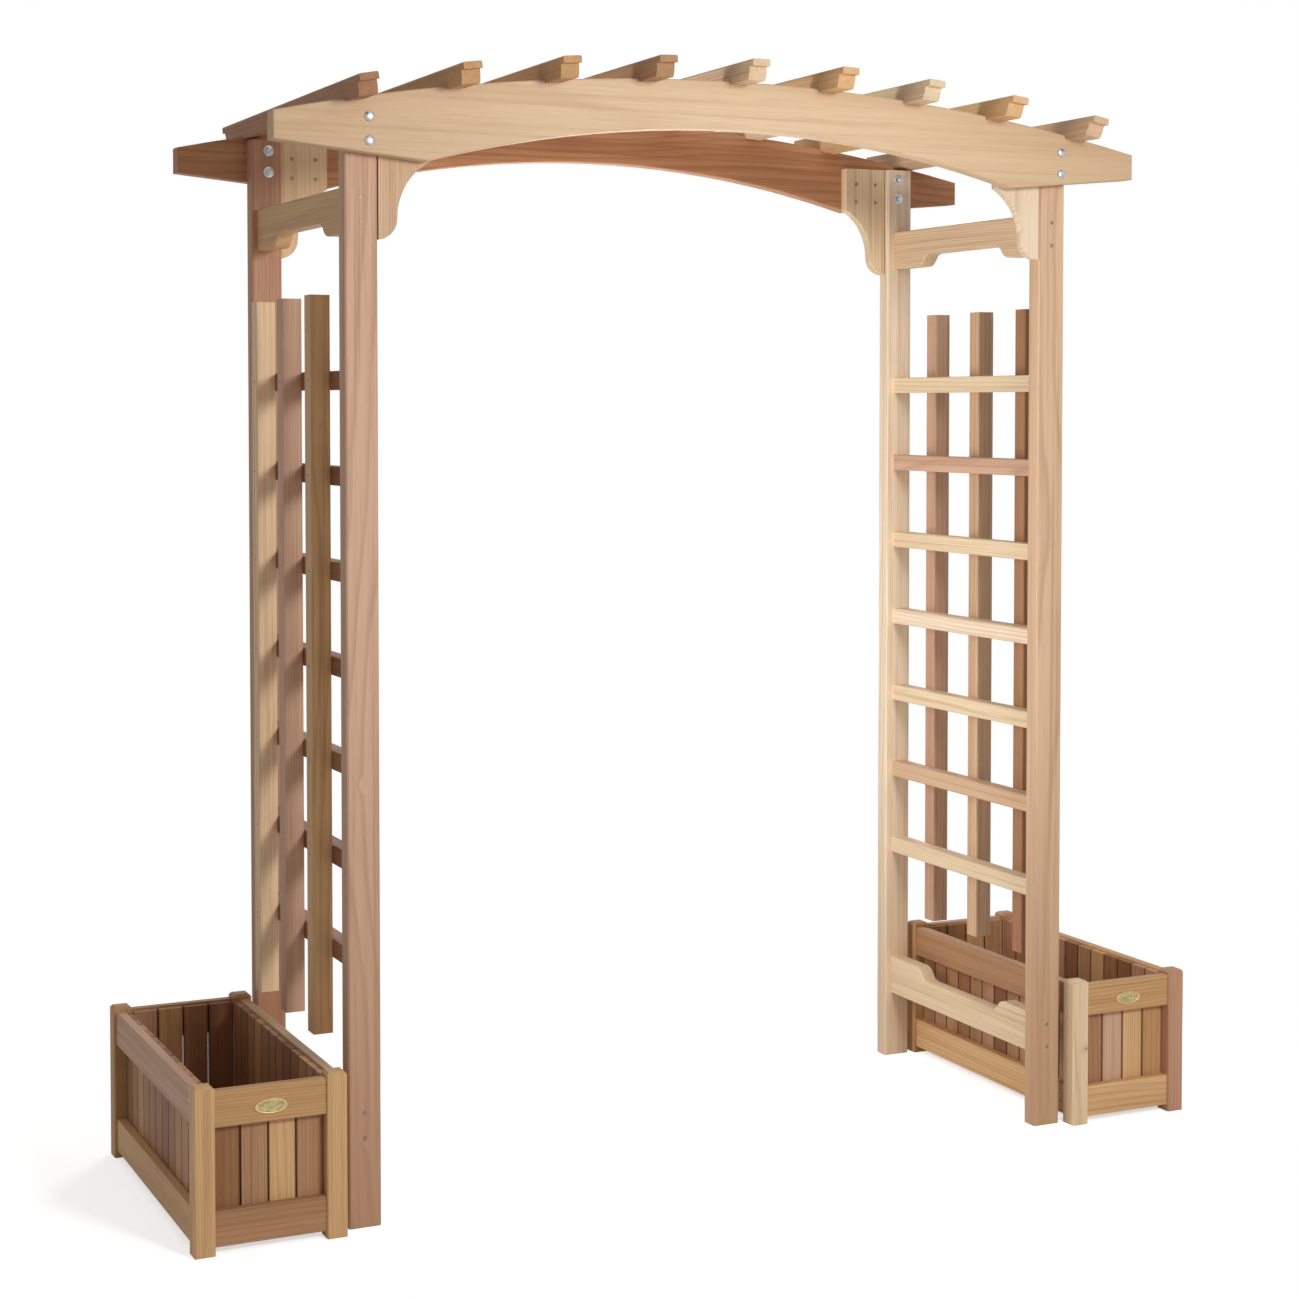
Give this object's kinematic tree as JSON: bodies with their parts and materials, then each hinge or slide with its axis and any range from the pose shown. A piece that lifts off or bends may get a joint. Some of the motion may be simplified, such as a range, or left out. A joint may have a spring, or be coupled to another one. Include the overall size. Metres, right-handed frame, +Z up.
{
  "type": "garden arbor with planter boxes",
  "caption": "Cedar garden arbor with an arched top of rafters on two curved beams, trellis sides, shaped corner brackets and a free-standing slatted planter box at each side.",
  "frame": {"origin": "on the ground, midway between the posts left to right and front to back", "axes": "+X across the walkway to the right, +Y through the arch to the back, +Z up; the planters' ends that stand proud of the posts face -Y"},
  "size_m": [2.146, 0.912, 2.16],
  "materials": {
    "cedar_posts": "planed, unpainted",
    "cedar_front_beam": "planed, unpainted",
    "cedar_back_beam": "planed, unpainted",
    "cedar_rafters": "planed, unpainted",
    "cedar_brackets": "planed, unpainted",
    "cedar_side_rails": "planed, unpainted",
    "cedar_trellis_rails": "planed, unpainted",
    "cedar_trellis_slats": "planed, unpainted",
    "cedar_planter_frame": "planed, unpainted",
    "cedar_planter_boards": "planed, unpainted",
    "cedar_planter_floor": "planed, unpainted",
    "plated_steel": "zinc plated",
    "bare_brass": "plain, brushed"
  },
  "bodies": {
    "arbor": {"arch_beam_back": "cedar_back_beam", "arch_beam_front": "cedar_front_beam", "bolt_nuts": "plated_steel", "bolt_washers": "plated_steel", "bottom_side_rail_left": "cedar_side_rails", "bottom_side_rail_right": "cedar_side_rails", "bracket_back_left": "cedar_brackets", "bracket_back_right": "cedar_brackets", "bracket_front_left": "cedar_brackets", "bracket_front_right": "cedar_brackets", "carriage_bolts": "plated_steel", "post_back_left": "cedar_posts", "post_back_right": "cedar_posts", "post_front_left": "cedar_posts", "post_front_right": "cedar_posts", "rafter_1": "cedar_rafters", "rafter_2": "cedar_rafters", "rafter_3": "cedar_rafters", "rafter_4": "cedar_rafters", "rafter_5": "cedar_rafters", "rafter_6": "cedar_rafters", "rafter_7": "cedar_rafters", "rafter_8": "cedar_rafters", "rafter_9": "cedar_rafters", "top_side_rail_left": "cedar_side_rails", "top_side_rail_right": "cedar_side_rails", "trellis_rails_left": "cedar_trellis_rails", "trellis_rails_right": "cedar_trellis_rails", "trellis_slat_back_left": "cedar_trellis_slats", "trellis_slat_back_right": "cedar_trellis_slats", "trellis_slat_front_left": "cedar_trellis_slats", "trellis_slat_front_right": "cedar_trellis_slats", "trellis_slat_middle_left": "cedar_trellis_slats", "trellis_slat_middle_right": "cedar_trellis_slats"},
    "planter_left": {"planter_back_boards_left": "cedar_planter_boards", "planter_bottom_end_rails_left": "cedar_planter_frame", "planter_bottom_side_rails_left": "cedar_planter_frame", "planter_floor_cleats_left": "cedar_planter_floor", "planter_floor_slats_left": "cedar_planter_floor", "planter_front_boards_left": "cedar_planter_boards", "planter_inner_boards_left": "cedar_planter_boards", "planter_legs_left": "cedar_planter_frame", "planter_outer_boards_left": "cedar_planter_boards", "planter_top_end_rails_left": "cedar_planter_frame", "planter_top_side_rails_left": "cedar_planter_frame"},
    "planter_right": {"planter_back_boards_right": "cedar_planter_boards", "planter_bottom_end_rails_right": "cedar_planter_frame", "planter_bottom_side_rails_right": "cedar_planter_frame", "planter_floor_cleats_right": "cedar_planter_floor", "planter_floor_slats_right": "cedar_planter_floor", "planter_front_boards_right": "cedar_planter_boards", "planter_inner_boards_right": "cedar_planter_boards", "planter_legs_right": "cedar_planter_frame", "planter_outer_boards_right": "cedar_planter_boards", "planter_top_end_rails_right": "cedar_planter_frame", "planter_top_side_rails_right": "cedar_planter_frame"}
  },
  "joints": [
    {"name": "planter_left_slide", "type": "slide", "parent": "arbor", "child": "planter_left", "axis": [-1, 0, 0], "range_m": [0, 0.4]},
    {"name": "planter_right_slide", "type": "slide", "parent": "arbor", "child": "planter_right", "axis": [1, 0, 0], "range_m": [0, 0.4]}
  ]
}
